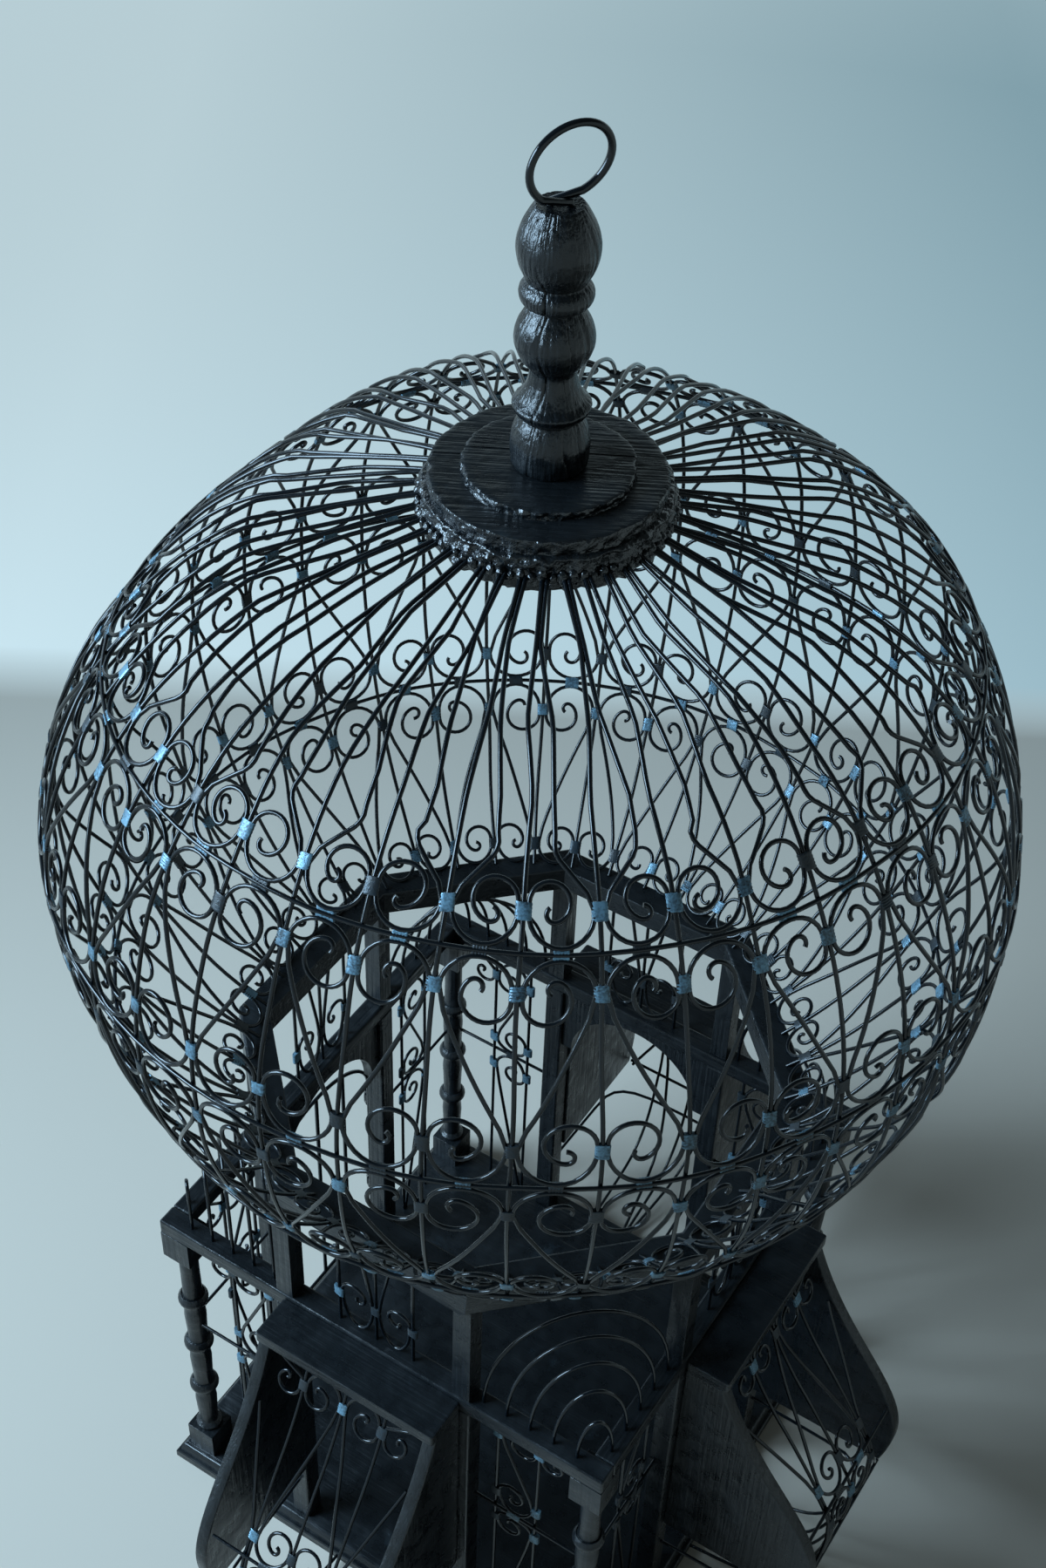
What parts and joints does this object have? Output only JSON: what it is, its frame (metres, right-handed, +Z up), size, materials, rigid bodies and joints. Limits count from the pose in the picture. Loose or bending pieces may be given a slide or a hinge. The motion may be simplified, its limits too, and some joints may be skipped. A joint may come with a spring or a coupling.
{
  "type": "bird cage on stand",
  "caption": "Black wire bird cage with a round scrollwork dome, turned finial and hanging loop, on a square wooden lower storey with bellied balconies.",
  "frame": {"origin": "on the floor, under the upright axis of the dome and the finial, at the underside of the base board", "axes": "+Z up along the dome's axis; -Y the front balcony; +X the right balcony; -X the wall with the door"},
  "size_m": [0.3487, 0.3512, 0.6579],
  "materials": {
    "black_painted_wood": "brushed gloss black paint on wood, worn at the edges",
    "black_painted_wire": "gloss black paint on bent wire, worn pale blue on some of the clips",
    "dark_steel_wire": "dark wire, worn"
  },
  "bodies": {
    "cage": {"base_board": "black_painted_wood", "corner_posts": "black_painted_wood", "long_rails": "black_painted_wood", "short_rails": "black_painted_wood", "wall_posts": "black_painted_wood", "arch_boards": "black_painted_wood", "drum_posts": "black_painted_wood", "ring_beam": "black_painted_wood", "balcony_shelves": "black_painted_wood", "balcony_cheeks": "black_painted_wood", "cap_skirt": "black_painted_wood", "cap_disc": "black_painted_wood", "cap_step": "black_painted_wood", "finial": "black_painted_wood", "balcony_grilles": "black_painted_wire", "balcony_cross_wires": "black_painted_wire", "wall_grilles": "black_painted_wire", "drum_grilles": "black_painted_wire", "corner_hoops": "black_painted_wire", "dome_ribs": "black_painted_wire", "crown_wires": "black_painted_wire", "upper_scroll_wires": "black_painted_wire", "lower_scroll_wires": "black_painted_wire", "foot_scroll_wires": "black_painted_wire", "upper_ring_wire": "black_painted_wire", "middle_ring_wire": "black_painted_wire", "lower_ring_wire": "black_painted_wire", "hanging_loop": "dark_steel_wire", "wall_eyes": "black_painted_wire", "hinge_pin": "dark_steel_wire"},
    "door": {"door_frame": "black_painted_wire", "door_bars": "black_painted_wire", "door_pull": "black_painted_wire", "door_eyes": "black_painted_wire"}
  },
  "joints": [
    {"name": "door_hinge", "type": "hinge", "parent": "cage", "child": "door", "pos_m": [-0.111, 0.04466, 0.07], "axis": [0, 0, -1], "range_deg": [0, 110]}
  ]
}
